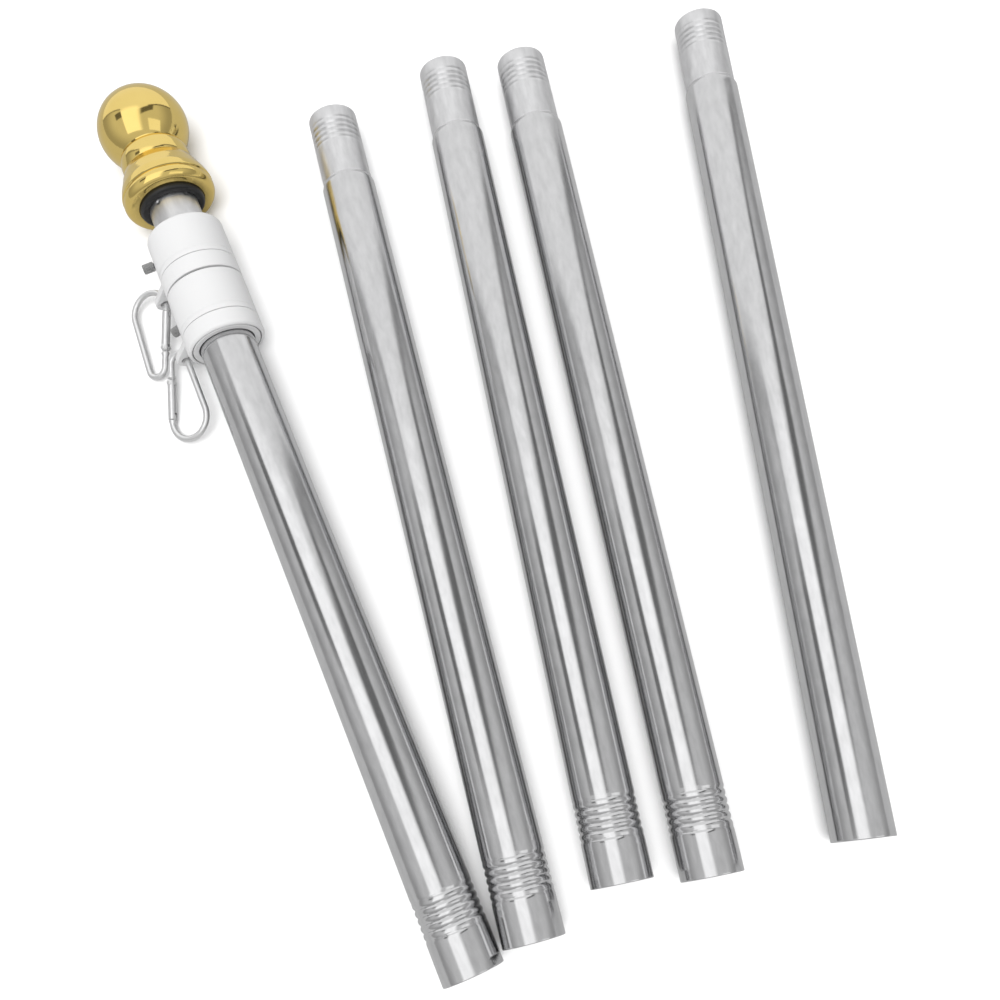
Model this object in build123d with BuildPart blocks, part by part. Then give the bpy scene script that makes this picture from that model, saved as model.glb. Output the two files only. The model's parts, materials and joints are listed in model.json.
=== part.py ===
from build123d import *
from math import asin, cos, degrees, pi, radians, sin
import os

# Sectional house flagpole of one inch steel tube, taken apart and laid out on
# the floor. X runs to the right along the row of sections, Y runs along the
# poles towards the gold finial and Z is up, with the floor at Z = 0.
# Places on the top section are given as a station along its axis from the butt
# end, a radius out from the axis and a turn about it: 0 is up, 90 is to the left.

# Tube sections, in millimetres
tube_r = 12.7
tube_wall = 0.8
section_length = 395.0
neck_r = 11.82
neck_wall = 0.7
neck_length = 38.5
shoulder_length = 3.0
mouth_chamfer = 0.3
tip_chamfer = 0.35

# Where each butt end lies, and how far its section leans to the left (degrees)
top_butt = (-47.8, -214.9)
top_lean = 12.08
second_butt = (-22.5, -207.8)
second_lean = 3.1
third_butt = (15.7, -193.5)
third_lean = 0.07
fourth_butt = (50.7, -197.7)
fourth_lean = -0.52
bottom_butt = (111.6, -195.7)
bottom_lean = -4.95

# Finial: a ball on a bell shaped base, held on the neck by a rubber bushing
# (its heights count from the lip of the skirt)
ball_r = 21.8
ball_sink = 4.3
base_height = 29.0
waist_r = 14.6
waist_bead_r = 15.9
waist_bead_height = 24.0
waist_groove_r = 15.3
waist_groove_height = 21.2
shoulder_bead_r = 17.0
shoulder_bead_height = 19.0
shoulder_groove_r = 16.6
shoulder_groove_height = 17.0
bell_r = 18.6
bell_height = 13.0
skirt_r = 22.0
skirt_height = 4.0
skirt_curl_r = 21.2
skirt_curl_height = 1.6
skirt_lip_r = 17.6
neck_in_finial = 21.5
socket_depth = 12.0
core_gap = 0.78
cap_thickness = 3.0
bushing_wall = 3.83
bushing_gap = 0.05
bushing_nose = 2.2
bushing_round = 1.0
spigot_r = 7.0
spigot_length = 5.0
spigot_gap = 0.1

# Turning rings: a collar clamped by a screw carries a ring with an ear
collar_length = 22.0
sleeve_gap = 0.45
sleeve_wall = 2.05
ring_gap = 0.08
ring_wall = 2.92
ring_length = 8.7
ring_end_gap = 0.3
lip_step = 0.7
lip_length = 1.5
lip_slope = 0.5
lip_gap = 0.5
edge_round = 1.5
unit_space = 1.0
upper_from_tip = 40.0

# Ear on each ring: a flat lug with its hole parallel to the pole
ear_turn = 113.3
ear_reach = 4.6
ear_hole_r = 2.5
ear_round = 5.0
ear_thickness = 3.0
ear_root_width = 13.0
ear_sink = 1.0

# Thumb screws
screw_r = 1.5
screw_hole_gap = 0.05
screw_tip_gap = 0.2
head_r = 2.5
head_length = 5.2
head_space = 0.4
head_chamfer = 0.4
screw_up = 12.2
upper_screw_turn = 88.0
lower_screw_turn = 110.0

# Snap clips: a pear shaped wire with a sprung gate
wire_r = 1.45
wide_r = 9.8
narrow_r = 4.7
end_spacing = 28.0
upper_clip_lean = 14.5
lower_clip_lean = 10.5
nose_at = 0.5
hinge_at = 18.5
gate_r = 2.0
tang_thickness = 1.3
tang_r = 1.35
tang_round = 0.6
tang_root = 1.0
nose_tang = 3.0
fork_gap = 0.15
end_gap = 0.25
rivet_r = 0.7
rivet_gap = 0.05
rivet_head_r = 1.2
rivet_head = 0.35
rivet_head_gap = 0.1

# Lengths that follow from the sizes above
bore_r = tube_r - tube_wall
neck_bore_r = neck_r - neck_wall
seat = section_length - neck_length
skirt_lip_station = section_length - neck_in_finial
skirt_station = skirt_lip_station + skirt_height
base_top_station = skirt_lip_station + base_height
ball_station = base_top_station + ball_r - ball_sink
socket_r = neck_r + bushing_gap + bushing_wall
core_r = neck_r + core_gap
sleeve_bore_r = tube_r + sleeve_gap
sleeve_r = sleeve_bore_r + sleeve_wall
lip_r = sleeve_r + lip_step
ring_bore_r = sleeve_r + ring_gap
collar_r = ring_bore_r + ring_wall
ear_hole_at_r = collar_r + ear_reach
upper_top = section_length - upper_from_tip
unit_length = collar_length + ring_end_gap + ring_length
lower_top = upper_top - unit_length - unit_space
upper_ear = upper_top - collar_length - ring_end_gap - ear_thickness / 2
lower_ear = upper_ear - unit_length - unit_space
taper = asin((wide_r - narrow_r) / end_spacing)
side_length = end_spacing * cos(taper)


def section_axis(butt, lean, rise=0.0):
    """Centre line of a section, from the middle of its butt end."""
    tilt = radians(rise)
    turn = radians(lean)
    direction = Vector(-sin(turn) * cos(tilt), cos(turn) * cos(tilt), sin(tilt))
    return Axis(Vector(butt[0], butt[1], tube_r * cos(tilt)), direction)


# The top section leans on the finial's skirt, so it rises towards the finial
top_rise = degrees(asin((skirt_r - tube_r) / skirt_station))
top_axis = section_axis(top_butt, top_lean, top_rise)
second_axis = section_axis(second_butt, second_lean)
third_axis = section_axis(third_butt, third_lean)
fourth_axis = section_axis(fourth_butt, fourth_lean)
bottom_axis = section_axis(bottom_butt, bottom_lean)


def radial(axis, turn):
    """Direction straight out from the axis at a turn about it."""
    left = Vector(0, 0, 1).cross(axis.direction).normalized()
    up = axis.direction.cross(left)
    return up * cos(radians(turn)) + left * sin(radians(turn))


def profile_plane(axis, turn=0.0):
    """Plane through the axis: sketch X is the radius and Y the station."""
    out = radial(axis, turn)
    return Plane(axis.position, x_dir=out, z_dir=out.cross(axis.direction))


def cross_plane(axis, station, turn=0.0):
    """Plane across the axis, with sketch X straight out at a turn."""
    origin = axis.position + axis.direction * station
    return Plane(origin, x_dir=radial(axis, turn), z_dir=axis.direction)


def outward_plane(axis, station, turn):
    """Plane that starts on the axis and faces out at a turn, with X along it."""
    origin = axis.position + axis.direction * station
    return Plane(origin, x_dir=axis.direction, z_dir=radial(axis, turn))


def clip_plane(middle_r, station, gate_turn):
    """Plane of a clip: Y runs from its wide end's middle to its narrow end's."""
    half_plane = profile_plane(top_axis, ear_turn)
    middle = Vector(middle_r, station)
    gate_side = Vector(cos(radians(gate_turn)), sin(radians(gate_turn)))
    origin = half_plane.from_local_coords(middle)
    beside = half_plane.from_local_coords(middle + gate_side)
    return Plane(origin, x_dir=beside - origin, z_dir=half_plane.z_dir)


def on_side(along, side=1):
    """Point on a straight side of the pear, counted from its wide end."""
    x = wide_r * cos(taper) - along * sin(taper)
    return (side * x, wide_r * sin(taper) + along * cos(taper))


def side_plane(plane):
    """Plane of a clip moved to its gate side, with X towards the hinge."""
    origin = plane.from_local_coords(on_side(0))
    ahead = plane.from_local_coords(on_side(1))
    return Plane(origin, x_dir=ahead - origin, z_dir=plane.z_dir)


def make_section(label, axis):
    """One tube, open at the butt end, with a narrower neck at the far end."""
    with BuildPart() as section:
        with BuildSketch(profile_plane(axis)):
            with BuildLine():
                Polyline(
                    (tube_r, seat - shoulder_length),
                    (tube_r, mouth_chamfer),
                    (tube_r - mouth_chamfer, 0),
                    (bore_r + mouth_chamfer, 0),
                    (bore_r, mouth_chamfer),
                    (bore_r, seat - shoulder_length),
                    (neck_bore_r, seat),
                    (neck_bore_r, section_length),
                    (neck_r - tip_chamfer, section_length),
                    (neck_r, section_length - tip_chamfer),
                    (neck_r, seat),
                    close=True,
                )
            make_face()
        revolve(axis=axis)
    section.part.label = label
    export_step(section.part, f"parts/{label}.step")


def make_collar(label, top, screw_turn):
    """Collar with the sleeve that its ring turns on, and a screw hole."""
    ridge = top - collar_length
    end = top - unit_length
    with BuildPart() as collar:
        with BuildSketch(profile_plane(top_axis)):
            with BuildLine():
                RadiusArc((collar_r - edge_round, top), (collar_r, top - edge_round), edge_round)
                Polyline(
                    (collar_r, top - edge_round),
                    (collar_r, ridge),
                    (sleeve_r, ridge),
                    (sleeve_r, end + lip_length + lip_slope),
                    (lip_r, end + lip_length),
                    (lip_r, end),
                    (sleeve_bore_r, end),
                    (sleeve_bore_r, top),
                    (collar_r - edge_round, top),
                )
            make_face()
        revolve(axis=top_axis)
        with BuildSketch(outward_plane(top_axis, ridge + screw_up, screw_turn)):
            Circle(screw_r + screw_hole_gap)
        extrude(amount=collar_r + head_space, mode=Mode.SUBTRACT)
    collar.part.label = label
    export_step(collar.part, f"parts/{label}.step")


def make_ring(label, top):
    """Ring that turns on its collar's sleeve, with an ear that a clip hangs from."""
    head = top - collar_length - ring_end_gap
    end = head - ring_length
    lip_room = end + lip_length + lip_gap
    with BuildPart() as ring:
        with BuildSketch(profile_plane(top_axis)):
            with BuildLine():
                RadiusArc((collar_r, end + edge_round), (collar_r - edge_round, end), edge_round)
                Polyline(
                    (collar_r - edge_round, end),
                    (lip_r + lip_gap, end),
                    (lip_r + lip_gap, lip_room),
                    (ring_bore_r, lip_room + lip_slope),
                    (ring_bore_r, head),
                    (collar_r, head),
                    (collar_r, end + edge_round),
                )
            make_face()
        revolve(axis=top_axis)
        root_r = ring_bore_r + ear_sink
        ear_plane = cross_plane(top_axis, head - ear_thickness, ear_turn)
        with BuildSketch(ear_plane):
            with BuildLine():
                Polyline(
                    (ear_hole_at_r, -ear_round),
                    (root_r, -ear_root_width / 2),
                    (root_r, ear_root_width / 2),
                    (ear_hole_at_r, ear_round),
                )
                ThreePointArc(
                    (ear_hole_at_r, ear_round),
                    (ear_hole_at_r + ear_round, 0),
                    (ear_hole_at_r, -ear_round),
                )
            make_face()
            with Locations((ear_hole_at_r, 0)):
                Circle(ear_hole_r, mode=Mode.SUBTRACT)
        extrude(amount=ear_thickness)
    ring.part.label = label
    export_step(ring.part, f"parts/{label}.step")


def make_thumb_screw(label, top, screw_turn):
    """Thumb screw that clamps a collar to the pole."""
    screw_plane = outward_plane(top_axis, top - collar_length + screw_up, screw_turn)
    tip = tube_r + screw_tip_gap
    head_start = collar_r + head_space
    with BuildPart() as screw:
        with BuildSketch(screw_plane.offset(head_start)):
            Circle(head_r)
        extrude(amount=head_length)
        chamfer(edges(), head_chamfer)
        with BuildSketch(screw_plane.offset(tip)):
            Circle(screw_r)
        extrude(amount=head_start - tip + head_chamfer)
    screw.part.label = label
    export_step(screw.part, f"parts/{label}.step")


def make_clip_frame(label, plane):
    """Wire of a clip, from its nose round the wide end to its hinge tang."""
    foot = hinge_at + gate_r + end_gap
    side = side_plane(plane)
    nose = side.from_local_coords((nose_at, 0))
    with BuildPart() as frame:
        with BuildLine(plane) as path:
            Line(on_side(nose_at), on_side(0))
            ThreePointArc(on_side(0), (0, -wide_r), on_side(0, -1))
            Line(on_side(0, -1), on_side(side_length, -1))
            ThreePointArc(
                on_side(side_length, -1),
                (0, end_spacing + narrow_r),
                on_side(side_length),
            )
            Line(on_side(side_length), on_side(foot))
        with BuildSketch(Plane(nose, x_dir=side.z_dir, z_dir=side.x_dir)):
            Circle(wire_r)
        sweep(path=path.line)
        with BuildSketch(side.offset(-tang_thickness / 2)):
            with Locations((nose_at + (nose_tang - tang_root) / 2, 0)):
                RectangleRounded(nose_tang + tang_root, 2 * tang_r, tang_round)
            with Locations(((hinge_at + foot + tang_root) / 2, 0)):
                Rectangle(foot + tang_root - hinge_at, 2 * tang_r)
            with Locations((hinge_at, 0)):
                Circle(tang_r)
                Circle(rivet_r, mode=Mode.SUBTRACT)
        extrude(amount=tang_thickness)
    frame.part.label = label
    export_step(frame.part, f"parts/{label}.step")


def make_clip_gate(label, plane):
    """Gate bar, forked over the nose tang and over the hinge tang."""
    side = side_plane(plane)
    start = nose_at + end_gap
    slot = tang_thickness + 2 * fork_gap
    nose_slot_end = nose_at + nose_tang + end_gap
    hinge_slot_start = hinge_at - tang_r - end_gap
    start_plane = Plane(side.from_local_coords((start, 0)), x_dir=side.z_dir, z_dir=side.x_dir)
    with BuildPart() as gate:
        with BuildSketch(start_plane):
            Circle(gate_r)
        extrude(amount=hinge_at + gate_r - start)
        with BuildSketch(side.offset(-gate_r)):
            with Locations(((start + hinge_at) / 2, 0)):
                Rectangle(hinge_at - start, 2 * gate_r)
            with Locations((hinge_at, 0)):
                Circle(gate_r)
                Circle(rivet_r + rivet_gap, mode=Mode.SUBTRACT)
        extrude(amount=2 * gate_r, mode=Mode.INTERSECT)
        with BuildSketch(side.offset(-slot / 2)):
            with Locations((start, 0)):
                Rectangle(2 * (nose_slot_end - start), 3 * gate_r)
            with Locations((hinge_slot_start + 2 * gate_r, 0)):
                Rectangle(4 * gate_r, 3 * gate_r)
        extrude(amount=slot, mode=Mode.SUBTRACT)
    gate.part.label = label
    export_step(gate.part, f"parts/{label}.step")


def make_clip_rivet(label, plane):
    """Rivet through the gate's fork and the tang, with a head at each end."""
    side = side_plane(plane)
    head_start = gate_r + rivet_head_gap
    with BuildPart() as rivet:
        with BuildSketch(side.offset(-head_start)):
            with Locations((hinge_at, 0)):
                Circle(rivet_r)
        extrude(amount=2 * head_start)
        with BuildSketch(side.offset(head_start), side.offset(-head_start - rivet_head)):
            with Locations((hinge_at, 0)):
                Circle(rivet_head_r)
        extrude(amount=rivet_head)
    rivet.part.label = label
    export_step(rivet.part, f"parts/{label}.step")


os.makedirs("parts", exist_ok=True)

# Sections
make_section("top_section_tube", top_axis)
make_section("second_section_tube", second_axis)
make_section("third_section_tube", third_axis)
make_section("fourth_section_tube", fourth_axis)
make_section("bottom_section_tube", bottom_axis)

# Finial base: flared skirt, two beads and a waist, open at the neck end
with BuildPart() as finial_base:
    with BuildSketch(profile_plane(top_axis)):
        with BuildLine():
            socket_end = skirt_lip_station + socket_depth
            core_end = base_top_station - cap_thickness
            Polyline(
                (waist_r, base_top_station),
                (spigot_r + spigot_gap, base_top_station),
                (spigot_r + spigot_gap, core_end),
                (core_r, core_end),
                (core_r, socket_end),
                (socket_r, socket_end),
                (socket_r, skirt_lip_station),
                (skirt_lip_r, skirt_lip_station),
            )
            Spline(
                (skirt_lip_r, skirt_lip_station),
                (skirt_curl_r, skirt_lip_station + skirt_curl_height),
                (skirt_r, skirt_station),
                tangents=((1, 0.15), (0, 1)),
            )
            Spline(
                (skirt_r, skirt_station),
                (bell_r, skirt_lip_station + bell_height),
                (shoulder_groove_r, skirt_lip_station + shoulder_groove_height),
                tangents=((0, 1), (-0.3, 1)),
            )
            ThreePointArc(
                (shoulder_groove_r, skirt_lip_station + shoulder_groove_height),
                (shoulder_bead_r, skirt_lip_station + shoulder_bead_height),
                (waist_groove_r, skirt_lip_station + waist_groove_height),
            )
            ThreePointArc(
                (waist_groove_r, skirt_lip_station + waist_groove_height),
                (waist_bead_r, skirt_lip_station + waist_bead_height),
                (waist_r, base_top_station),
            )
        make_face()
    revolve(axis=top_axis)
finial_base.part.label = "finial_base"
export_step(finial_base.part, "parts/finial_base.step")

# Finial ball, with a spigot down into the base
with BuildPart() as finial_ball:
    with BuildSketch(profile_plane(top_axis)):
        with BuildLine():
            spigot_end = base_top_station - spigot_length
            ball_seat_r = (ball_r**2 - (ball_station - base_top_station) ** 2) ** 0.5
            Polyline(
                (0, ball_station + ball_r),
                (0, spigot_end),
                (spigot_r, spigot_end),
                (spigot_r, base_top_station),
                (ball_seat_r, base_top_station),
            )
            ThreePointArc(
                (ball_seat_r, base_top_station),
                (ball_r, ball_station),
                (0, ball_station + ball_r),
            )
        make_face()
    revolve(axis=top_axis)
finial_ball.part.label = "finial_ball"
export_step(finial_ball.part, "parts/finial_ball.step")

# Rubber bushing between the finial base and the neck of the top section
with BuildPart() as finial_bushing:
    with BuildSketch(profile_plane(top_axis)):
        with BuildLine():
            bushing_r = neck_r + bushing_gap
            bushing_foot = skirt_lip_station - bushing_nose
            Polyline(
                (bushing_r, bushing_foot),
                (bushing_r, skirt_lip_station + socket_depth),
                (socket_r, skirt_lip_station + socket_depth),
                (socket_r, bushing_foot + bushing_round),
                (socket_r - bushing_round, bushing_foot),
                close=True,
            )
        make_face()
    revolve(axis=top_axis)
finial_bushing.part.label = "finial_bushing"
export_step(finial_bushing.part, "parts/finial_bushing.step")

# Turning rings
make_collar("upper_collar", upper_top, upper_screw_turn)
make_collar("lower_collar", lower_top, lower_screw_turn)
make_ring("upper_ring", upper_top)
make_ring("lower_ring", lower_top)
make_thumb_screw("upper_thumb_screw", upper_top, upper_screw_turn)
make_thumb_screw("lower_thumb_screw", lower_top, lower_screw_turn)

# The upper clip hangs by its wide end with its gate towards the pole
upper_clip_plane = clip_plane(ear_hole_at_r + wide_r, upper_ear, degrees(pi) + upper_clip_lean)
make_clip_frame("upper_clip_frame", upper_clip_plane)
make_clip_gate("upper_clip_gate", upper_clip_plane)
make_clip_rivet("upper_clip_rivet", upper_clip_plane)

# The lower clip hangs by its narrow end with its gate away from the pole
lower_clip_plane = clip_plane(
    ear_hole_at_r + narrow_r + end_spacing * sin(radians(lower_clip_lean)),
    lower_ear - end_spacing * cos(radians(lower_clip_lean)),
    lower_clip_lean,
)
make_clip_frame("lower_clip_frame", lower_clip_plane)
make_clip_gate("lower_clip_gate", lower_clip_plane)
make_clip_rivet("lower_clip_rivet", lower_clip_plane)
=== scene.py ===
import json
import math
import bpy
from mathutils import Matrix, Vector


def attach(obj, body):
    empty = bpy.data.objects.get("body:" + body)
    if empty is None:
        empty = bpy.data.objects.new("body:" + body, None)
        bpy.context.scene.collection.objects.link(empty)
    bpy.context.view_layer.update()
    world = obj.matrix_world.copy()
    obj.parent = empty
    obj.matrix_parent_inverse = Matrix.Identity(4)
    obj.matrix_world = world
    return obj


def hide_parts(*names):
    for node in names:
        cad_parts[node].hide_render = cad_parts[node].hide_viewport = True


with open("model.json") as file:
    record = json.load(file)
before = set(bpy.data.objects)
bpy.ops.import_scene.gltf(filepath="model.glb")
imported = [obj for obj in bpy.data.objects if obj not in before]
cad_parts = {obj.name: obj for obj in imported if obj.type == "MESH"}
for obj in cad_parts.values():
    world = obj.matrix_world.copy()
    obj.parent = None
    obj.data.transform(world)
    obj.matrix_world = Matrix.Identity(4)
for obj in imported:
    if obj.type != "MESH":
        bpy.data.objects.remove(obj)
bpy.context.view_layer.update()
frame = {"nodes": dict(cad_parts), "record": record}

mm = 0.001
onAxis = 0.02      # radius in mm at which an outline meets its axis
print("frame loaded:", len(frame["nodes"]), "nodes")


def axes(x, z):
    # rotation that stands local X and Z in two directions, square to each other
    return Matrix((x, z.cross(x), z)).transposed().to_4x4()


class Pole:
    # a section's centre line: stations count from its butt end, turn 0 is up and 90 is to the left
    mountInset = 0.3      # from the butt end to where the mouth's mount starts

    def __init__(self, name):
        mouth = next(m for m in frame["record"]["mounts"] if m["name"] == name + "_section_mouth")
        depth = mouth["dims"]["length_mm"] / 2 + self.mountInset
        self.along = -Vector(mouth["axis"]).normalized()
        self.butt = Vector(mouth["pos_m"]) - self.along * depth * mm
        self.left = Vector((0, 0, 1)).cross(self.along).normalized()
        self.up = self.along.cross(self.left)

    def out(self, turn):
        angle = math.radians(turn)
        return self.up * math.cos(angle) + self.left * math.sin(angle)

    def point(self, station, radius=0.0, turn=0.0):
        return self.butt + self.along * station * mm + self.out(turn) * radius * mm

    def matrix(self, turn=0.0):
        # local Z along the pole from its butt end, local X straight out at the turn
        return Matrix.Translation(self.butt) @ axes(self.out(turn), self.along)


poles = {name: Pole(name) for name in ("top", "second", "third", "fourth", "bottom")}


class Signal:
    # wraps a socket, so that an expression on values adds its Math nodes
    def __init__(self, board, plug):
        self.board, self.plug = board, plug

    def calc(self, operation, *values):
        return self.board.node("ShaderNodeMath", {"operation": operation}, dict(enumerate(values)))

    def __add__(self, other):
        return self.calc("ADD", self, other)

    def __radd__(self, other):
        return self.calc("ADD", other, self)

    def __sub__(self, other):
        return self.calc("SUBTRACT", self, other)

    def __rsub__(self, other):
        return self.calc("SUBTRACT", other, self)

    def __mul__(self, other):
        return self.calc("MULTIPLY", self, other)

    def __rmul__(self, other):
        return self.calc("MULTIPLY", other, self)

    def __truediv__(self, other):
        return self.calc("DIVIDE", self, other)

    def __pow__(self, other):
        return self.calc("POWER", self, other)

    def __getitem__(self, name):
        # another output of the same node
        return Signal(self.board, self.plug.node.outputs[name])

    def least(self, other):
        return self.calc("MINIMUM", self, other)

    def most(self, other):
        return self.calc("MAXIMUM", self, other)

    def rise(self, low, high):
        # 0 below low, 1 above high, smooth between
        return self.board.node("ShaderNodeMapRange", {"interpolation_type": "SMOOTHSTEP"},
                               {"Value": self, "From Min": low, "From Max": high})

    def within(self, low, high, softLow=1.0, softHigh=1.0):
        # 1 between low and high, falling off over the soft widths
        return self.rise(low - softLow, low + softLow) * (1.0 - self.rise(high - softHigh, high + softHigh))

    def ranging(self, start, span):
        # from start to start + span, as the signal goes from 0 to 1
        return start + span * self

    def scaled(self, to):
        return self.board.node("ShaderNodeVectorMath", {"operation": "MULTIPLY"}, {0: self, 1: to})


class Board:
    # a node tree, and the one method that makes its nodes
    def __init__(self, owner):
        owner.use_nodes = True
        self.tree = owner.node_tree
        self.tree.nodes.clear()

    def node(self, kind, settings=None, values=None, output=0):
        made = self.tree.nodes.new(kind)
        for name, value in (settings or {}).items():
            setattr(made, name, value)
        for name, value in (values or {}).items():
            if isinstance(value, Signal):
                self.tree.links.new(value.plug, made.inputs[name])
            else:
                made.inputs[name].default_value = value
        return Signal(self, made.outputs[output] if made.outputs else None)

    def place(self):
        # the spot on the piece in its own millimetres, kept on its mesh
        return self.node("ShaderNodeAttribute", {"attribute_name": "place"}, output="Vector")

    def noise(self, at, scale, detail=2.0):
        return self.node("ShaderNodeTexNoise", None, {"Vector": at, "Scale": scale, "Detail": detail})["Fac"]

    def mixed(self, share, first, second):
        return self.node("ShaderNodeMix", {"data_type": "RGBA"}, {0: share, 6: first, 7: second}, output=2)

    def colour(self, tone, blue=1.0):
        # grey of a tone, a little bluer where blue is over 1
        bluish = tone if blue == 1.0 else tone * blue
        return self.node("ShaderNodeCombineColor", None, {0: tone, 1: tone, 2: bluish})

    def bump(self, height, depth, strength):
        return self.node("ShaderNodeBump", None,
                         {"Height": height, "Distance": depth * mm, "Strength": strength})


def finish(name, build):
    # material whose shader has the values that build gives for its sockets
    material = bpy.data.materials.new(name)
    board = Board(material)
    shader = board.node("ShaderNodeBsdfPrincipled", None, build(board))
    board.node("ShaderNodeOutputMaterial", None, {"Surface": shader})
    return material


def grained(look):
    # finish whose tone, roughness and relief all follow one fine grain
    def build(board):
        grain = board.noise(board.place(), look["grain"], look["detail"])
        return {"Base Color": board.colour(look["tone"] * grain.ranging(*look["shades"])),
                "Metallic": look["metal"], "Roughness": grain.ranging(*look["rough"]),
                "Normal": board.bump(grain, *look["relief"])}
    return build


def grey(value):
    return (value, value, value, 1.0)


# place in mm from the frame's origin, turns in degrees, focal length in widths of the image
camera = {
    "place": (-0.54, -187.11, 481.25), "tilt": 18.776, "roll": -11.766, "focal": 1.1277,
    "sensor": 36, "near": 0.01, "far": 50,
}


def makeCamera():
    tilt, roll = math.radians(camera["tilt"]), math.radians(camera["roll"])
    look = Vector((0, math.sin(tilt), -math.cos(tilt)))
    upright = Vector((0, math.cos(tilt), math.sin(tilt)))
    across = Vector((math.cos(roll), 0, 0)) + upright * math.sin(roll)
    data = bpy.data.cameras.new("camera")
    data.sensor_width = camera["sensor"]
    data.lens = camera["focal"] * data.sensor_width
    data.clip_start, data.clip_end = camera["near"], camera["far"]
    made = bpy.data.objects.new("camera", data)
    made.matrix_world = Matrix.Translation(Vector(camera["place"]) * mm) @ axes(across, -look)
    bpy.context.scene.collection.objects.link(made)
    bpy.context.scene.camera = made


makeCamera()

# directions are degrees from straight up, to the right and ahead; the edges run along the foot of the wall
studio = {
    "room": 0.66, "low": 0.38, "lowSpan": (50, 85),      # room overhead, and as it darkens to the floor
    "wall": 0.95, "wallSoft": 1.0,      # bright wall beyond the finial, as the steel mirrors it
    "leftSlope": 0.362, "leftFoot": 13.0, "rightSlope": 0.556, "rightFoot": 8.7,
    "patches": (      # brightness, and two spans with the soft widths of their ends, laid on in this order
        (0.23, {"right": (-80, -31), "leftEdge": (11.5, 14.5, 0.7, 0.7)}),      # dark lines along the foot
        (0.12, {"right": (31, 80), "rightEdge": (6.0, 10.5, 0.8, 0.8)}),
        (0.14, {"right": (-47, -31, 0.8, 0.8), "ahead": (4, 19)}),      # dark blocks
        (0.14, {"right": (14, 42, 4.0, 1.5), "rightEdge": (-7.0, 7.5)}),
        (1.30, {"right": (-31, 10.5, 0.8, 6.5), "ahead": (-39, 22, 1.0, 6.0)}),      # softbox overhead
        (1.05, {"right": (30, 60), "ahead": (-39, -9)}),      # softbox to the right
    ),
    "seen": 0.97,      # background to look at
    "floor": 0.92, "mirrored": 0.43,      # floor to look at, and as the metal mirrors it: darker there, a painted shade
    "floorRough": 0.9, "floorHalf": 4,
    "fill": 2.0, "fillAngle": 36, "fillFrom": (0, -0.3, 1),
}


def floorFinish(board):
    # in glossy rays the floor's colour is darkened: painted shade standing for the floor shaded beside the
    # pieces
    mirrored = board.node("ShaderNodeLightPath", None, None, "Is Glossy Ray")
    return {"Base Color": board.mixed(mirrored, grey(studio["floor"]), grey(studio["mirrored"])),
            "Roughness": studio["floorRough"], "Specular IOR Level": 0.0}


def makeRoom():
    world = bpy.data.worlds.new("studio")
    bpy.context.scene.world = world
    board = Board(world)
    way = board.node("ShaderNodeTexCoord", None, None, "Generated")
    parts = board.node("ShaderNodeSeparateXYZ", None, {"Vector": way})
    x, y, z = parts["X"], parts["Y"], parts["Z"]
    flat = ((x * x + y * y) ** 0.5).most(0.0001)      # never nothing, as it divides below
    lean = z.calc("ARCCOSINE", z) * (180 / math.pi)      # degrees from straight up
    right, ahead = lean * x / flat, lean * y / flat
    leftEdge, rightEdge = ahead + studio["leftSlope"] * right, ahead - studio["rightSlope"] * right
    ways = {"right": right, "ahead": ahead, "leftEdge": leftEdge, "rightEdge": rightEdge}

    def layer(below, share, value):
        return below + share * (value - below)

    light = studio["room"] + (studio["low"] - studio["room"]) * lean.rise(*studio["lowSpan"])
    beyond = (leftEdge - studio["leftFoot"]).least(rightEdge - studio["rightFoot"])
    light = layer(light, beyond.rise(-studio["wallSoft"], studio["wallSoft"]), studio["wall"])
    for bright, spans in studio["patches"]:
        first, second = (ways[name].within(*span) for name, span in spans.items())
        light = layer(light, first * second, bright)
    seen = board.node("ShaderNodeLightPath", None, None, "Is Camera Ray")
    light = layer(light, seen, studio["seen"])
    back = board.node("ShaderNodeBackground", None, {"Color": grey(1.0), "Strength": light})
    board.node("ShaderNodeOutputWorld", None, {"Surface": back})
    bpy.context.scene.view_settings.view_transform = "Standard"


def makeFill():
    # a soft light that the metal doesn't mirror
    data = bpy.data.lights.new("fill", "SUN")
    data.energy, data.angle = studio["fill"], math.radians(studio["fillAngle"])
    fill = bpy.data.objects.new("fill", data)
    fill.matrix_world = Vector(studio["fillFrom"]).to_track_quat("Z", "Y").to_matrix().to_4x4()
    fill.visible_glossy = False
    bpy.context.scene.collection.objects.link(fill)


def makeFloor():
    half = studio["floorHalf"]
    corners = [(-half, -half, 0), (half, -half, 0), (half, half, 0), (-half, half, 0)]
    mesh = bpy.data.meshes.new("floor")
    mesh.from_pydata(corners, [], [(0, 1, 2, 3)])
    mesh.materials.append(finish("paleFloor", floorFinish))
    floor = bpy.data.objects.new("floor", mesh)
    bpy.context.scene.collection.objects.link(floor)


makeRoom()
makeFill()
makeFloor()
print("camera and studio ready")


# mesh makers: all work in millimetres about the piece's own origin

def rounded(corners, steps=5):
    # closed outline of (radius, station, round) corners, each round an arc
    done = []
    for i, (r, s, bend) in enumerate(corners):
        here = Vector((r, s))
        if not bend:
            done.append((r, s))
            continue
        back = Vector(corners[i - 1][:2]) - here
        ahead = Vector(corners[(i + 1) % len(corners)][:2]) - here
        angle = back.angle(ahead)
        reach = bend / math.tan(angle / 2)
        middle = here + (back.normalized() + ahead.normalized()).normalized() * bend / math.sin(angle / 2)
        a = here + back.normalized() * reach - middle
        b = here + ahead.normalized() * reach - middle
        for k in range(steps + 1):
            spoke = (a * (1 - k / steps) + b * k / steps).normalized()
            done.append(tuple(middle + spoke * bend))
    return done


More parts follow.
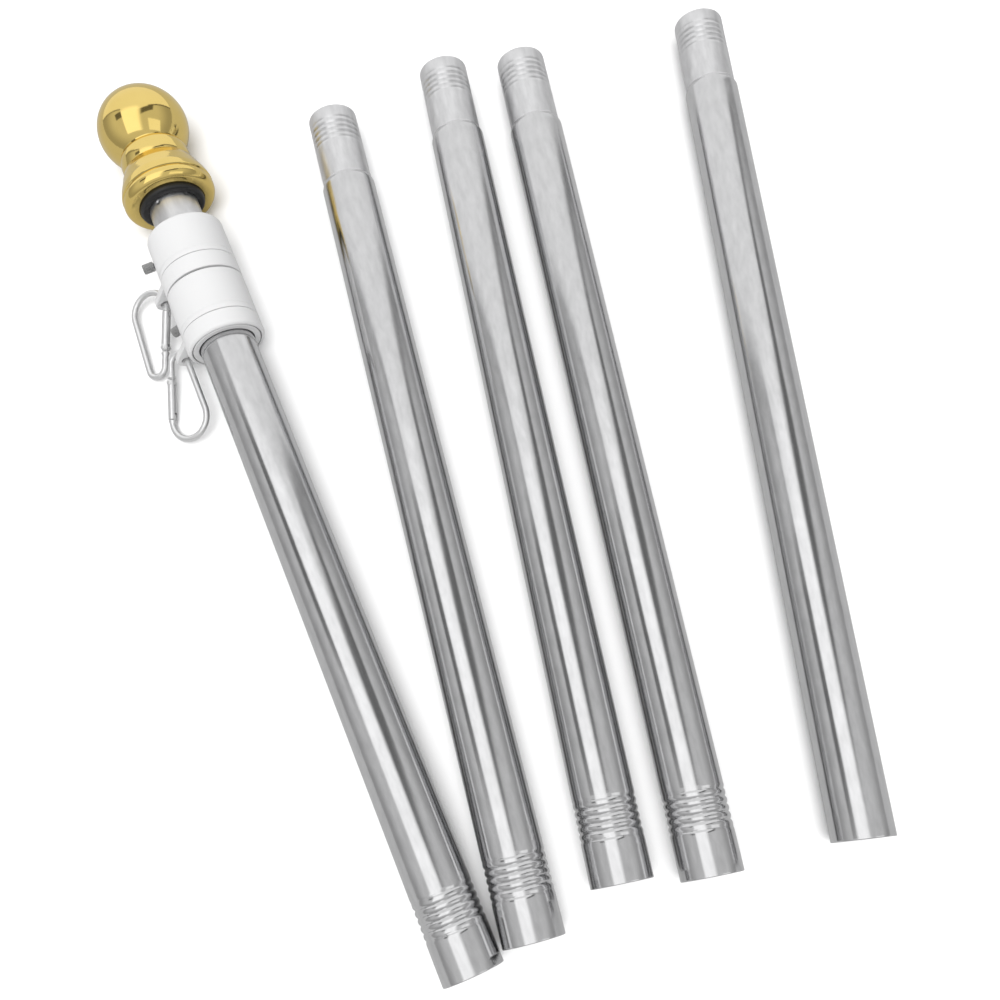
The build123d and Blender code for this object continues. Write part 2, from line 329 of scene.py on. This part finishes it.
def curveThrough(points, steps=6):
    # smooth line through (radius, station) points
    ends = [points[0]] + list(points) + [points[-1]]
    line = []
    for i in range(1, len(ends) - 2):
        p0, p1, p2, p3 = (Vector(ends[i + k]) for k in (-1, 0, 1, 2))
        for k in range(steps):
            t = k / steps
            line.append(tuple(0.5 * (2 * p1 + (p2 - p0) * t + (2 * p0 - 5 * p1 + 4 * p2 - p3) * t * t
                                     + (3 * p1 - p0 - 3 * p2 + p3) * t ** 3)))
    return line + [tuple(points[-1])]


def stations(low, high, step):
    # even places from low to high, at most a step apart
    count = max(1, math.ceil(abs(high - low) / step))
    return [low + (high - low) * k / count for k in range(count + 1)]


def arcPoints(middle, radius, start, end, count):
    return [(middle[0] + radius * math.cos(start + (end - start) * k / count),
             middle[1] + radius * math.sin(start + (end - start) * k / count)) for k in range(count + 1)]


def circle(radius, count, middle=(0, 0)):
    return arcPoints(middle, radius, 0, math.tau * (1 - 1 / count), count - 1)


def solid(name, points, faces):
    mesh = bpy.data.meshes.new(name)
    mesh.from_pydata(points, [], faces)
    mesh.validate()
    return mesh


def turned(name, outline, around=96, closed=True, carve=None):
    # outline of (radius, station) turned about local Z; carve gives a depth for a radius, station and angle
    points, faces = [], []
    for r, s in outline:
        for k in range(around):
            a = math.tau * k / around
            kept = r - carve(r, s, a) if carve else r
            points.append((kept * math.cos(a), kept * math.sin(a), s))
    rows = len(outline)
    for i in range(rows if closed else rows - 1):
        j = (i + 1) % rows
        for k in range(around):
            n = (k + 1) % around
            faces.append((i * around + k, i * around + n, j * around + n, j * around + k))
    if not closed:
        faces.append(tuple(reversed(range(around))))
        faces.append(tuple((rows - 1) * around + k for k in range(around)))
    return solid(name, points, faces)


def swept(name, path, sections):
    # path in the local XY plane with one closed section a point, given as (sideways, up) pairs
    points, faces = [], []
    size = len(sections[0])
    for i, (x, y) in enumerate(path):
        before, after = path[max(i - 1, 0)], path[min(i + 1, len(path) - 1)]
        run = Vector((after[0] - before[0], after[1] - before[1], 0)).normalized()
        side = Vector((0, 0, 1)).cross(run)
        points += [Vector((x, y, w)) + side * u for u, w in sections[i]]
    for i in range(len(path) - 1):
        for k in range(size):
            n = (k + 1) % size
            faces.append((i * size + k, (i + 1) * size + k, (i + 1) * size + n, i * size + n))
    faces.append(tuple(range(size)))
    faces.append(tuple((len(path) - 1) * size + k for k in reversed(range(size))))
    return solid(name, points, faces)


def plate(name, outline, hole, thickness, edge):
    # flat plate about the local XY plane, with rounded edges and perhaps a round hole
    curve = bpy.data.curves.new(name, "CURVE")
    curve.dimensions, curve.fill_mode = "2D", "BOTH"
    curve.extrude, curve.bevel_depth, curve.bevel_resolution = thickness / 2 - edge, edge, 2
    curve.offset = -edge
    for loop in (outline, hole):
        if loop:
            spline = curve.splines.new("POLY")
            spline.points.add(len(loop) - 1)
            for point, (x, y) in zip(spline.points, loop):
                point.co = (x, y, 0, 1)
            spline.use_cyclic_u = True
    holder = bpy.data.objects.new(name, curve)
    mesh = bpy.data.meshes.new_from_object(holder)
    bpy.data.objects.remove(holder)
    # its faces and its sides share no points yet: those on one spot are made one
    spots, places = {}, []
    for v in mesh.vertices:
        places.append(spots.setdefault(tuple(round(c, 4) for c in v.co), len(spots)))
    faces = [[places[i] for i in face.vertices] for face in mesh.polygons]
    welded = bpy.data.meshes.new(name)
    welded.from_pydata(list(spots), [], [face for face in faces if len(set(face)) == len(face)])
    bpy.data.meshes.remove(mesh)
    return welded


def block(name, low, high):
    spots = [(x, y, z) for x in (low[0], high[0]) for y in (low[1], high[1]) for z in (low[2], high[2])]
    faces = [(0, 1, 3, 2), (4, 6, 7, 5), (0, 4, 5, 1), (2, 3, 7, 6), (0, 2, 6, 4), (1, 5, 7, 3)]
    return solid(name, spots, faces)


def combined(base, tool, operation):
    # one mesh from two
    holders = []
    for mesh in (base, tool):
        holder = bpy.data.objects.new(mesh.name, mesh)
        bpy.context.scene.collection.objects.link(holder)
        holders.append(holder)
    modifier = holders[0].modifiers.new("combine", "BOOLEAN")
    modifier.object, modifier.operation, modifier.solver = holders[1], operation, "EXACT"
    made = bpy.data.meshes.new_from_object(holders[0].evaluated_get(bpy.context.evaluated_depsgraph_get()))
    for holder in holders:
        bpy.data.objects.remove(holder)
    return made


def inMetres(local):
    # the same placement with its shift in metres, to go behind a piece's matrix
    return Matrix.Translation(local.translation * mm) @ local.to_3x3().to_4x4()


def piece(name, body, mesh, matrix, material, node, crisp=38):
    # stands a mesh on its place and lets it ride on its body
    mesh.name = name
    spots = [c for v in mesh.vertices for c in v.co]
    mesh.attributes.new("place", "FLOAT_VECTOR", "POINT").data.foreach_set("vector", spots)
    mesh.transform(matrix @ Matrix.Scale(mm, 4))
    mesh.shade_smooth()
    mesh.set_sharp_from_angle(angle=math.radians(crisp))
    mesh.materials.clear()
    mesh.materials.append(material)
    made = bpy.data.objects.new(name, mesh)
    bpy.context.scene.collection.objects.link(made)
    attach(made, body)
    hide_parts(node)


# a rim's points count in from the tube's side and back from its end
tube = {
    "radius": 12.7, "wall": 0.8, "length": 395.0, "buttRim": ((0.0, 0.3), (0.12, 0.08), (0.3, 0.0)),
    "neckRadius": 11.82, "neckWall": 0.7, "neckLength": 38.5, "shoulder": 3.0,
    "neckRim": ((0.05, 0.35), (0.2, 0.08), (0.35, 0.0)),
    "pitch": 3.0,
    "mouthGroove": 0.65, "mouthPlain": 17.6, "mouthTurns": 5,
    "neckGroove": 0.4, "neckPlain": 19.5, "neckTurns": 4,
    "dimples": ((370.9, -47.5), (369.9, 23.7)), "dimpleRadius": 1.5, "dimpleDepth": 0.45,
    "around": 96,
}
# mesh rows along a tube: the spacing in each stretch, how far the fine rows reach past a groove or dimple,
# and where the plain rows stop short of what comes next
tubeRows = {
    "mouth": 4, "barrel": 40, "plainBarrel": 45, "neck": 6,
    "groove": 0.25, "pastGroove": 2.6, "dimple": 0.3, "pastDimple": 1.7, "shoulderSteps": 8,
    "start": 0.7, "beforeGroove": 3, "afterGroove": 4, "beforeShoulder": 2, "afterShoulder": (0.4, 2),
    "neckStart": 6, "beforeEnd": (1.5, 0.9),
}
# the band and the seam count from the neck's shoulder, and the patterns are scaled across and along the tube
steel = {
    "tone": 0.66, "clouds": (0.84, 0.32), "neckClouds": (0.04, 0.08), "blue": 1.01,
    "polish": 0.12, "satin": 0.33, "streaks": 0.05, "worn": 0.14, "wornBand": (-30, -4), "seam": (-0.6, 0.4),
    "brushed": (6.0, 6.0, 0.05), "cloudy": (0.35, 0.35, 0.12), "latheLines": (0.05, 0.05, 7.0),
    "detail": 3.0, "latheDepth": 1.5, "relief": (0.02, 0.35),
}


def steelFinish(board):
    place = board.place()
    station = board.node("ShaderNodeSeparateXYZ", None, {"Vector": place}, "Z")
    seat = tube["length"] - tube["neckLength"]
    neck = station.rise(*(seat + past for past in steel["seam"]))
    worn = station.rise(*(seat + past for past in steel["wornBand"])) * (1.0 - neck)      # rubbed band
    brushed = board.noise(place.scaled(steel["brushed"]), 1.0, steel["detail"])
    cloudy = board.noise(place.scaled(steel["cloudy"]), 1.0, steel["detail"])
    latheLines = board.noise(place.scaled(steel["latheLines"]), 1.0)
    rough = steel["polish"] + steel["streaks"] * brushed + worn * cloudy * steel["worn"]
    rough = rough + neck * (steel["satin"] - steel["polish"])
    tone = steel["tone"] * cloudy.ranging(*steel["clouds"]) + neck * cloudy.ranging(*steel["neckClouds"])
    height = brushed * (1.0 - neck) + latheLines * neck * steel["latheDepth"]
    return {"Base Color": board.colour(tone, steel["blue"]), "Metallic": 1.0, "Roughness": rough,
            "Normal": board.bump(height, *steel["relief"])}


steelTube = finish("steelTube", steelFinish)


def grooves(turns, start, depth):
    # right-handed rolled groove that fades in and out over its first and last turn
    def carve(station, angle):
        x = (station - start) / tube["pitch"] + angle / math.tau
        nearest = round(x)
        run = nearest - angle / math.tau
        fade = min(1.0, max(0.0, run + 0.5), max(0.0, turns + 0.5 - run))
        return depth * fade * (1 - 2 * abs(x - nearest)) ** 2      # round crests, narrow valleys
    return carve


def dimples(station, angle):
    depth = 0.0
    for at, turn in tube["dimples"]:
        aside = (angle + math.radians(turn) + math.pi) % math.tau - math.pi
        away = math.hypot(station - at, aside * tube["neckRadius"]) / tube["dimpleRadius"]
        if away < 1:
            depth = tube["dimpleDepth"] * math.cos(away * math.pi / 2) ** 2
    return depth


def tubeSide(radius, neckRadius, threadedMouth, threadedNeck):
    # rows of one side of the wall, from the mouth to the neck's end
    t, rows = tube, tubeRows
    seat = t["length"] - t["neckLength"]
    barrelEnd = seat - t["shoulder"] - rows["beforeShoulder"]
    if threadedMouth:
        first, last = t["mouthPlain"], t["mouthPlain"] + t["mouthTurns"] * t["pitch"]
        barrel = stations(rows["start"], first - rows["beforeGroove"], rows["mouth"])
        barrel += stations(first - rows["pastGroove"], last + rows["pastGroove"], rows["groove"])
        barrel += stations(last + rows["afterGroove"], barrelEnd, rows["barrel"])
    else:
        barrel = stations(rows["start"], barrelEnd, rows["plainBarrel"])
    neck = [seat + past for past in rows["afterShoulder"]]
    if threadedNeck:
        first, last = seat + t["neckPlain"], seat + t["neckPlain"] + t["neckTurns"] * t["pitch"]
        neck += stations(seat + rows["neckStart"], first - rows["beforeGroove"], rows["neck"])
        neck += stations(first - rows["pastGroove"], last + rows["pastGroove"], rows["groove"])
    else:
        first, last = (pick(s for s, turn in t["dimples"]) for pick in (min, max))
        neck += stations(first - rows["pastDimple"], last + rows["pastDimple"], rows["dimple"])
    neck += [t["length"] - back for back in rows["beforeEnd"]]
    step = []
    for k in range(rows["shoulderSteps"] + 1):      # rounded step down to the neck
        share = k / rows["shoulderSteps"]
        ease = (1 - math.cos(math.pi * share)) / 2
        step.append((radius + (neckRadius - radius) * ease, seat - t["shoulder"] * (1 - share)))
    return [(radius, s) for s in barrel] + step + [(neckRadius, s) for s in neck]


def makeTube(name):
    t = tube
    end, seat = t["length"], t["length"] - t["neckLength"]
    outer, neck = t["radius"], t["neckRadius"]
    bore, neckBore = outer - t["wall"], neck - t["neckWall"]
    threadedMouth, threadedNeck = name != "bottom", name != "top"
    mouthGroove = grooves(t["mouthTurns"], t["mouthPlain"], t["mouthGroove"])
    neckGroove = grooves(t["neckTurns"], seat + t["neckPlain"], t["neckGroove"])

    def carve(radius, station, angle):
        if station > seat:
            return neckGroove(station, angle) if threadedNeck else dimples(station, angle)
        return mouthGroove(station, angle) if threadedMouth else 0.0

    outline = tubeSide(outer, neck, threadedMouth, threadedNeck)
    outline += [(neck - inset, end - back) for inset, back in t["neckRim"]] + [(neckBore, end)]
    outline += tubeSide(bore, neckBore, threadedMouth, threadedNeck)[::-1]
    outline += [(bore + inset, back) for inset, back in t["buttRim"]]
    outline += [(outer - inset, back) for inset, back in t["buttRim"][::-1]]
    around = t["around"] if threadedNeck else 2 * t["around"]
    mesh = turned(name + "SectionTube", outline, around, carve=carve)
    piece(name + "SectionTube", "pole_sections", mesh, poles[name].matrix(), steelTube,
          name + "_section_tube")


for name in poles:
    makeTube(name)
print("five tube sections made")


# heights in the base's profile count from the lip of its skirt
finial = {
    "ballRadius": 21.8, "ballStation": 420.0, "seatStation": 402.5, "lipStation": 373.5,
    "skirt": ((17.6, 0), (19.7, 0.35), (20.9, 1.2), (21.7, 2.6), (21.95, 4.2), (21.8, 5.6), (21.35, 6.5)),
    "bell": ((21.95, 6.9), (21.9, 7.6), (21.2, 10.5), (20.4, 12.5), (19.6, 14.5), (18.85, 16.5),
             (17.95, 18.5), (17.05, 20.5), (16.7, 20.85)),
    "bead": ((16.1, 21.1), (16.4, 22.0), (16.62, 23.6), (16.67, 25.5), (16.6, 27.2), (16.35, 28.7),
             (15.95, 30.1)),
    "collar": ((15.45, 30.5), (15.55, 31.0)),
    "socketRadius": 15.7, "socketDepth": 12.0, "socketEdge": (0.3, 0.6), "coreRadius": 12.6, "cap": 3.0,
    "spigot": 7.0, "spigotLength": 5.0, "spigotGap": 0.1, "cupGap": 0.04, "cupRows": 0.5, "ballSteps": 80,
    "nose": 2.2, "noseEdges": (0.5, 1.5), "bushingBoreGap": 0.05, "bushingGap": 0.02,
    "around": 144,
}
gold = {
    "tint": (0.90, 0.69, 0.24, 1.0), "shadeTint": (0.82, 0.61, 0.19, 1.0), "clouds": 0.09, "detail": 3.0,
    "rough": (0.06, 0.05), "latheLines": (0.3, 0.3, 3.5), "relief": (0.02, 0.12),
}
rubber = {
    "grain": 2.2, "detail": 4.0, "tone": 0.012, "shades": (0.7, 0.6), "metal": 0.0, "rough": (0.34, 0.12),
    "relief": (0.05, 0.4),
}


def goldFinish(board):
    place = board.place()
    cloudy = board.noise(place, gold["clouds"], gold["detail"])
    latheLines = board.noise(place.scaled(gold["latheLines"]), 1.0)
    return {"Base Color": board.mixed(cloudy, gold["tint"], gold["shadeTint"]), "Metallic": 1.0,
            "Roughness": cloudy.ranging(*gold["rough"]), "Normal": board.bump(latheLines, *gold["relief"])}


goldMetal = finish("goldMetal", goldFinish)
blackRubber = finish("blackRubber", grained(rubber))


def makeFinial():
    f = finial
    place = poles["top"].matrix()
    lip, seat, middle, r = f["lipStation"], f["seatStation"], f["ballStation"], f["ballRadius"]
    core, socket, socketEnd = f["coreRadius"], f["socketRadius"], lip + f["socketDepth"]
    skin = []
    for part in ("skirt", "bell", "bead", "collar"):
        skin += curveThrough([(radius, lip + height) for radius, height in f[part]])
    cup = []      # the top follows the ball
    for s in stations(skin[-1][1], seat, f["cupRows"]):
        cup.append((math.sqrt(r ** 2 - (s - middle) ** 2) + f["cupGap"], s))
    hole, capEnd = f["spigot"] + f["spigotGap"], seat - f["cap"]
    edgeOut, edgeUp = f["socketEdge"]
    hollow = [(hole, seat), (hole, capEnd), (core, capEnd), (core, socketEnd), (socket, socketEnd),
              (socket, lip + edgeUp), (socket + edgeOut, lip)]
    base = turned("finialBase", skin + cup + hollow, f["around"])
    piece("finialBase", "pole_sections", base, place, goldMetal, "finial_base", 25)

    low, high = math.asin((seat - middle) / r), math.pi / 2 - 0.002      # ends just short of the axis
    spigotEnd = seat - f["spigotLength"]
    outline = [(onAxis, spigotEnd), (f["spigot"], spigotEnd), (f["spigot"], seat)]
    outline += arcPoints((0, middle), r, low, high, f["ballSteps"])
    ball = turned("finialBall", outline, f["around"], closed=False)
    piece("finialBall", "pole_sections", ball, place, goldMetal, "finial_ball")

    bore, wide = tube["neckRadius"] + f["bushingBoreGap"], socket - f["bushingGap"]
    nose, deep = lip - f["nose"], socketEnd - f["bushingGap"]
    innerEdge, outerEdge = f["noseEdges"]
    outline = rounded([(bore, nose, innerEdge), (bore, deep, 0), (wide, deep, 0), (wide, nose, outerEdge)], 7)
    bushing = turned("finialBushing", outline[::-1])
    piece("finialBushing", "pole_sections", bushing, place, blackRubber, "finial_bushing")


makeFinial()
print("finial made")


# a unit is a collar with the ring that turns on its sleeve
unit = {
    "collarRadius": 18.2, "collarLength": 22.0, "upperTop": 355.0, "space": 1.0,
    "sleeveBore": 13.15, "sleeve": 15.2, "ringGap": 0.08, "ringLength": 8.7, "ringEndGap": 0.3,
    "lip": 15.9, "lipLength": 1.5, "lipSlope": 0.5, "lipGap": 0.5,
    "outerEdge": 1.5, "innerEdge": 0.4, "seamEdge": 0.25, "sleeveEdge": 0.2, "endEdge": 0.3,
    "markLine": 3.0, "markDepth": 0.1, "markHalf": 0.2, "markFloorHalf": 0.06,
    "earTurn": 113.3, "earHoleAt": 22.8, "earHole": 2.5, "earRound": 4.8, "earRoot": 1.2,
    "earThickness": 3.0, "earEdge": 0.35,
    "screwUp": 12.2, "screwHole": 1.55, "screwTurns": {"upper": 88.0, "lower": 110.0}, "drillOver": 2,
    "around": 144,
}
plastic = {
    "tone": 0.655, "shades": (0.99, 0.02), "clouds": 0.08, "blue": 1.003, "grain": 0.9, "detail": 3.0,
    "rough": (0.46, 0.08), "relief": (0.02, 0.25),
}
unitLength = unit["collarLength"] + unit["ringEndGap"] + unit["ringLength"]
unitTops = {"upper": unit["upperTop"], "lower": unit["upperTop"] - unitLength - unit["space"]}


def plasticFinish(board):
    place = board.place()
    grain = board.noise(place, plastic["grain"], plastic["detail"])
    tone = plastic["tone"] * board.noise(place, plastic["clouds"]).ranging(*plastic["shades"])
    return {"Base Color": board.colour(tone, plastic["blue"]), "Roughness": grain.ranging(*plastic["rough"]),
            "Normal": board.bump(grain, *plastic["relief"])}


whitePlastic = finish("whitePlastic", plasticFinish)


def screwDrill(name, ridge):
    # cutter for the thumb screw's hole, straight out at its turn
    u = unit
    span = (u["sleeveBore"] - u["drillOver"], u["collarRadius"] + u["drillOver"])
    drill = turned("drill", [(u["screwHole"], height) for height in span], 32, closed=False)
    turn = -math.radians(u["screwTurns"][name])
    aim = Matrix.Rotation(turn, 4, "Z") @ Matrix.Rotation(math.pi / 2, 4, "Y")
    spin = Matrix.Rotation(0.07, 4, "Z")      # keeps its corners off the collar's, so that the cut is clean
    drill.transform(Matrix.Translation((0, 0, ridge + u["screwUp"])) @ aim @ spin)
    return drill


def makeCollar(name, body, edge):
    u = unit
    top, end = unitTops[name], unitTops[name] - unitLength
    ridge = top - u["collarLength"]
    r, sleeve, bore, lip = u["collarRadius"], u["sleeve"], u["sleeveBore"], u["lip"]
    mark, markFloor, lipTop = ridge + u["markLine"], r - u["markDepth"], end + u["lipLength"]
    outline = rounded([
        (r, top, edge), (r, mark + u["markHalf"], 0), (markFloor, mark + u["markFloorHalf"], 0),
        (markFloor, mark - u["markFloorHalf"], 0), (r, mark - u["markHalf"], 0), (r, ridge, u["seamEdge"]),
        (sleeve, ridge, 0), (sleeve, lipTop + u["lipSlope"], u["sleeveEdge"]), (lip, lipTop, u["sleeveEdge"]),
        (lip, end, u["endEdge"]), (bore, end, u["endEdge"]), (bore, top, u["endEdge"])])
    mesh = combined(turned(name + "Collar", outline, u["around"]), screwDrill(name, ridge), "DIFFERENCE")
    piece(name + "Collar", body, mesh, poles["top"].matrix(), whitePlastic, name + "_collar")


def makeRing(name, body, edge):
    u = unit
    head = unitTops[name] - u["collarLength"] - u["ringEndGap"]
    end = head - u["ringLength"]
    r, bore = u["collarRadius"], u["sleeve"] + u["ringGap"]
    lipRoom, roomEnd = u["lip"] + u["lipGap"], end + u["lipLength"] + u["lipGap"]
    outline = rounded([
        (r, end, edge), (lipRoom, end, u["seamEdge"]), (lipRoom, roomEnd, 0),
        (bore, roomEnd + u["lipSlope"], 0), (bore, head, u["sleeveEdge"]), (r, head, u["seamEdge"])])
    band = turned(name + "Ring", outline, u["around"])
    # the ear is a teardrop: straight sides run from the band to the lug round the hole
    spread = math.acos((r - u["earRound"]) / u["earHoleAt"])
    hole = (u["earHoleAt"], 0)
    ear = arcPoints((0, 0), r - u["earRoot"], -spread, spread, 24)
    ear += arcPoints(hole, u["earRound"], spread, -spread, 32)
    flap = plate(name + "Ear", ear, circle(u["earHole"], 32, hole), u["earThickness"], u["earEdge"])
    flap.transform(Matrix.Translation((0, 0, head - u["earThickness"] / 2)))
    piece(name + "Ring", body, combined(band, flap, "UNION"), poles["top"].matrix(u["earTurn"]), whitePlastic,
          name + "_ring")


makeCollar("upper", "pole_sections", unit["outerEdge"])
makeCollar("lower", "lower_collar", unit["innerEdge"])
makeRing("upper", "upper_ring", unit["innerEdge"])
makeRing("lower", "lower_ring", unit["outerEdge"])
print("turning rings made")


screw = {
    "head": 2.5, "headLength": 5.2, "headSpace": 0.4, "headEdge": 0.35, "dish": (0.9, 0.7), "dishDepth": 0.15,
    "shank": 1.5, "tipGap": 0.2, "tipEdge": 0.3, "thread": 0.12, "threadHalfPitch": 0.25, "threadRows": 22,
    "teeth": 14, "toothDepth": 0.4, "slant": 0.8, "knurlAt": 0.45, "knurlRows": 0.14, "around": 160,
}
screwLook = {
    "grain": 2.5, "detail": 3.0, "tone": 0.40, "shades": (0.7, 0.9), "metal": 1.0, "rough": (0.26, 0.16),
    "relief": (0.04, 0.3),
}
screwSteel = finish("screwSteel", grained(screwLook))


def makeThumbScrew(name):
    s = screw
    pole = poles["top"]
    station = unitTops[name] - unit["collarLength"] + unit["screwUp"]
    matrix = Matrix.Translation(pole.point(station)) @ axes(pole.along, pole.out(unit["screwTurns"][name]))
    start, tip = unit["collarRadius"] + s["headSpace"], tube["radius"] + s["tipGap"]
    end, shank, head, edge = start + s["headLength"], s["shank"], s["head"], s["headEdge"]
    rows = [(onAxis, tip), (shank - s["tipEdge"], tip)]
    for k in range(s["threadRows"]):
        rows.append((shank - (s["thread"] if k % 2 else 0), tip + s["tipEdge"] + s["threadHalfPitch"] * k))
    rows += [(shank, start), (head - edge, start), (head, start + edge)]
    rows += [(head, x) for x in stations(start + s["knurlAt"], end - s["knurlAt"], s["knurlRows"])]
    dishRim, dishFloor = s["dish"]
    rows += [(head, end - edge), (head - edge, end), (dishRim, end), (dishFloor, end - s["dishDepth"]),
             (onAxis, end - s["dishDepth"])]

    def knurl(radius, height, angle):
        if radius < head - 0.01:
            return 0.0
        left = math.cos(s["teeth"] * (angle + height * s["slant"] / 2))
        right = math.cos(s["teeth"] * (angle - height * s["slant"] / 2))
        return s["toothDepth"] * (0.5 - 0.5 * min(left, right))

    mesh = turned(name + "ThumbScrew", rows, s["around"], closed=False, carve=knurl)
    piece(name + "ThumbScrew", name + "_thumb_screw", mesh, matrix, screwSteel,
          name + "_thumb_screw")


makeThumbScrew("upper")
makeThumbScrew("lower")
print("thumb screws made")


# a pear of wire; places along its gate's side count from where that side leaves the wide end
clip = {
    "wire": 1.45, "wide": 9.8, "narrow": 4.7, "spacing": 28.0, "upperLean": 14.5, "lowerLean": 10.5,
    "noseAt": 0.5, "hingeAt": 18.5, "endGap": 0.25,
    "shoulder": 1.85, "shoulderEdge": 0.12, "noseShoulder": 0.45, "hingeShoulder": 1.0, "swelling": 0.6,
    "swellingTurn": 0.12, "wireAround": 32,
    "tang": 1.3, "tangHalf": 1.35, "tangEdge": 0.15, "tangRoot": 1, "noseTang": 3.0, "noseRound": (0.6, 0.17),
    "gate": 2.0, "gateEdge": 0.15, "fork": 0.15, "gateStart": 0.6, "gateRows": 1.5, "gateAround": 40,
    "rivet": 0.7, "rivetGap": 0.1, "rivetHead": 1.2, "rivetRim": 0.1, "rivetHeadLength": 0.35,
    "rivetDome": ((0.8, 0.8), (0.4, 1)),      # shares of the head's radius and length
}
clipLook = {
    "grain": 0.8, "detail": 3.0, "tone": 0.92, "shades": (0.95, 0.1), "metal": 1.0, "rough": (0.30, 0.10),
    "relief": (0.03, 0.15),
}
clipSteel = finish("clipSteel", grained(clipLook))
taper = math.asin((clip["wide"] - clip["narrow"]) / clip["spacing"])
sideLength = clip["spacing"] * math.cos(taper)


def onSide(along, side=1):
    # point on a straight side of the pear
    x = clip["wide"] * math.cos(taper) - along * math.sin(taper)
    return (side * x, clip["wide"] * math.sin(taper) + along * math.cos(taper))


def clipMatrix(radius, station, gateTurn):
    # local Y runs from the wide end's middle to the narrow end's, local X to the gate's side
    pole = poles["top"]
    angle, out = math.radians(gateTurn), pole.out(unit["earTurn"])
    turn = axes(out * math.cos(angle) + pole.along * math.sin(angle), out.cross(pole.along))
    return Matrix.Translation(pole.point(station, radius, unit["earTurn"])) @ turn


def clipWire(name, foot):
    # the wire swells to a small shoulder at both of its ends
    c = clip
    body = arcPoints((0, 0), c["wide"], taper - c["swellingTurn"], -math.pi - taper, 64)
    body += [onSide(sideLength * k / 8, -1) for k in range(1, 8)]
    body += arcPoints((0, c["spacing"]), c["narrow"], math.pi - taper, taper, 32)
    left = sideLength - foot - (c["hingeShoulder"] + c["swelling"])
    body += [onSide(sideLength - left * k / 4) for k in range(1, 5)]
    nose, edge, shoulder = c["noseAt"], c["shoulderEdge"], c["shoulder"]
    path = [onSide(nose), onSide(nose - edge), onSide(nose - c["noseShoulder"])] + body
    path += [onSide(foot + c["hingeShoulder"]), onSide(foot + edge), onSide(foot)]
    swell = [shoulder - edge, shoulder, shoulder]
    sizes = swell + [c["wire"]] * len(body) + swell[::-1]
    return swept(name + "Clip", path, [circle(size, c["wireAround"]) for size in sizes])


def clipTangs(name, foot, noseEnd):
    # flat nose and hinge tangs that reach into the wire's ends
    c = clip
    half, root, (cut, slant) = c["tangHalf"], c["tangRoot"], c["noseRound"]
    below = [(c["noseAt"] - root, -half), (noseEnd - cut, -half), (noseEnd - slant, -half + slant),
             (noseEnd, -half + cut)]
    nose = below + [(x, -y) for x, y in below[::-1]]
    hinge = arcPoints((c["hingeAt"], 0), half, math.pi / 2, 3 * math.pi / 2, 16)
    hinge = [(foot + root, half)] + hinge + [(foot + root, -half)]
    return [plate(name + "Tang", outline, None, c["tang"], c["tangEdge"]) for outline in (nose, hinge)]


def clipGate(name, noseEnd):
    # gate bar with a round hinge end, slotted over both tangs
    c = clip
    start, gate, edge, hinge = c["noseAt"] + c["endGap"], c["gate"], c["gateEdge"], c["hingeAt"]
    rows = [(start, gate - edge), (start + edge, gate)]
    rows += [(x, gate) for x in stations(start + c["gateStart"], hinge, c["gateRows"])]
    for degrees in range(9, 90, 9):
        a = math.radians(degrees)
        rows.append((hinge + gate * math.sin(a), gate * math.cos(a)))
    rows.append((hinge + gate, onAxis))
    sections = [circle(size, c["gateAround"]) for x, size in rows]
    bar = swept(name + "Bar", [(x, 0) for x, size in rows], sections)
    slot, clear = c["tang"] / 2 + c["fork"], gate + 1
    noseSlot = (start - 1, noseEnd + c["endGap"])
    hingeSlot = (hinge - c["tangHalf"] - c["endGap"], hinge + 2 * gate)
    for low, high in (noseSlot, hingeSlot):
        bar = combined(bar, block("slot", (low, -clear, -slot), (high, clear, slot)), "DIFFERENCE")
    return bar


def clipRivet(name):
    c = clip
    reach, head, rim = c["gate"] + c["rivetGap"], c["rivetHead"], c["rivetHeadLength"]
    cap = [(c["rivet"], reach), (head, reach), (head, reach + c["rivetRim"])]
    cap += [(head * wide, reach + rim * high) for wide, high in c["rivetDome"]] + [(onAxis / 2, reach + rim)]
    return turned(name + "Rivet", [(r, -z) for r, z in cap[::-1]] + cap, 32, closed=False)


def makeClip(name, matrix):
    c = clip
    foot, noseEnd = c["hingeAt"] + c["gate"] + c["endGap"], c["noseAt"] + c["noseTang"]
    ahead = Vector(onSide(1)) - Vector(onSide(0))
    side = Matrix.Translation((*onSide(0), 0)) @ Matrix.Rotation(math.atan2(ahead.y, ahead.x), 4, "Z")
    wire = clipWire(name, foot)
    for tang in clipTangs(name, foot, noseEnd):
        tang.transform(side)
        wire = combined(wire, tang, "UNION")
    piece(name + "ClipFrame", name + "_clip", wire, matrix, clipSteel, name + "_clip_frame")
    piece(name + "ClipGate", name + "_clip_gate", clipGate(name, noseEnd), matrix @ inMetres(side), clipSteel,
          name + "_clip_gate")
    hinge = side @ Matrix.Translation((c["hingeAt"], 0, 0))
    piece(name + "ClipRivet", name + "_clip", clipRivet(name), matrix @ inMetres(hinge), clipSteel,
          name + "_clip_rivet")


upperEar = unitTops["upper"] - unit["collarLength"] - unit["ringEndGap"] - unit["earThickness"] / 2
lowerEar = upperEar - unitLength - unit["space"]
lean = math.radians(clip["lowerLean"])
makeClip("upper", clipMatrix(unit["earHoleAt"] + clip["wide"], upperEar, 180 + clip["upperLean"]))
makeClip("lower", clipMatrix(unit["earHoleAt"] + clip["narrow"] + clip["spacing"] * math.sin(lean),
                             lowerEar - clip["spacing"] * math.cos(lean), clip["lowerLean"]))
print("snap clips made")
